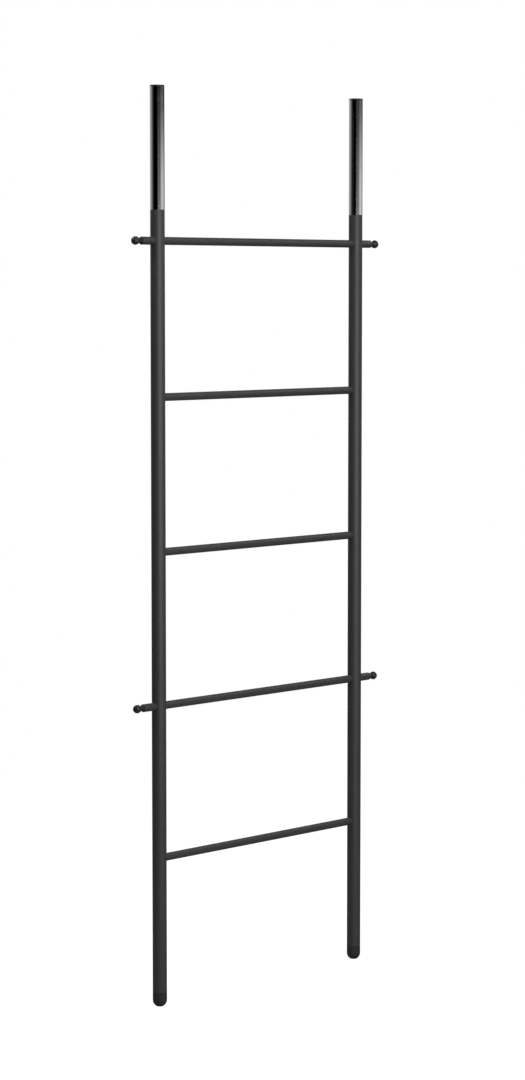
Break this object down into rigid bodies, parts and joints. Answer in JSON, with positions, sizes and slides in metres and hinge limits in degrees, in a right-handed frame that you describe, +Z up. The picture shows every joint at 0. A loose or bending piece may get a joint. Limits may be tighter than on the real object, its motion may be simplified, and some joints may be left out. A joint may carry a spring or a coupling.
{
  "type": "blanket ladder",
  "caption": "Leaning blanket ladder of round black steel tube, with polished rail heads, plain round rungs, ball-ended side pegs and domed rubber feet.",
  "frame": {"origin": "on the floor, midway between the tips of the two feet", "axes": "+Z up along the rails; +X along the rungs, to the right seen from the front; the front faces -Y and the wall is on the +Y side"},
  "size_m": [0.625, 0.0254, 1.615],
  "materials": {
    "matt_black_coat": "matt black powder coat with a fine orange peel",
    "polished_black_plate": "polished black chrome plate",
    "zinc_plated_steel": "bright zinc plate, turned",
    "black_cap_plastic": "moulded, satin",
    "black_rubber": "moulded, matt"
  },
  "bodies": {
    "root": {"left_lower_tube": "matt_black_coat", "left_grip_tube": "polished_black_plate", "left_spigot": "zinc_plated_steel", "left_cap": "black_cap_plastic", "left_foot": "black_rubber", "right_lower_tube": "matt_black_coat", "right_grip_tube": "polished_black_plate", "right_spigot": "zinc_plated_steel", "right_cap": "black_cap_plastic", "right_foot": "black_rubber", "rung_1": "matt_black_coat", "rung_2": "matt_black_coat", "rung_3": "matt_black_coat", "rung_4": "matt_black_coat", "rung_5": "matt_black_coat", "lower_left_peg": "matt_black_coat", "lower_left_saddle_washer": "matt_black_coat", "lower_left_stud": "zinc_plated_steel", "lower_left_insert": "zinc_plated_steel", "lower_right_peg": "matt_black_coat", "lower_right_saddle_washer": "matt_black_coat", "lower_right_stud": "zinc_plated_steel", "lower_right_insert": "zinc_plated_steel", "upper_left_peg": "matt_black_coat", "upper_left_saddle_washer": "matt_black_coat", "upper_left_stud": "zinc_plated_steel", "upper_left_insert": "zinc_plated_steel", "upper_right_peg": "matt_black_coat", "upper_right_saddle_washer": "matt_black_coat", "upper_right_stud": "zinc_plated_steel", "upper_right_insert": "zinc_plated_steel"}
  },
  "joints": []
}
